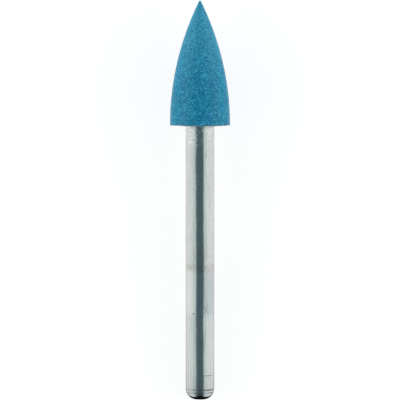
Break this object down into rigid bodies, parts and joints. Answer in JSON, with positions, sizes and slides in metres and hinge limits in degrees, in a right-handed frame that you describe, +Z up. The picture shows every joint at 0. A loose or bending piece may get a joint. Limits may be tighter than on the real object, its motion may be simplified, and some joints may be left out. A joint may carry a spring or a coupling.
{
  "type": "dental polisher",
  "caption": "Pointed polisher of abrasive rubber, bonded on a plain round steel shank with a rounded tail, for a straight dental handpiece.",
  "frame": {"origin": "on the surface that the polisher lies on, under the centre of its bounding box", "axes": "+Z up from that surface, +Y along the polisher towards its point, +X across it. The axis of the polisher rises towards the point by about 3.4 degrees, because the head is thicker than the shank"},
  "size_m": [0.005, 0.0328, 0.005],
  "materials": {
    "shank_steel": "drawn and ground steel, bright with fine lengthwise lines, faint heat tint and a few marks",
    "abrasive_rubber": "matt blue rubber filled with fine abrasive grain, speckled lighter and darker"
  },
  "bodies": {
    "root": {"mandrel": "shank_steel", "polishing_point": "abrasive_rubber"}
  },
  "joints": []
}
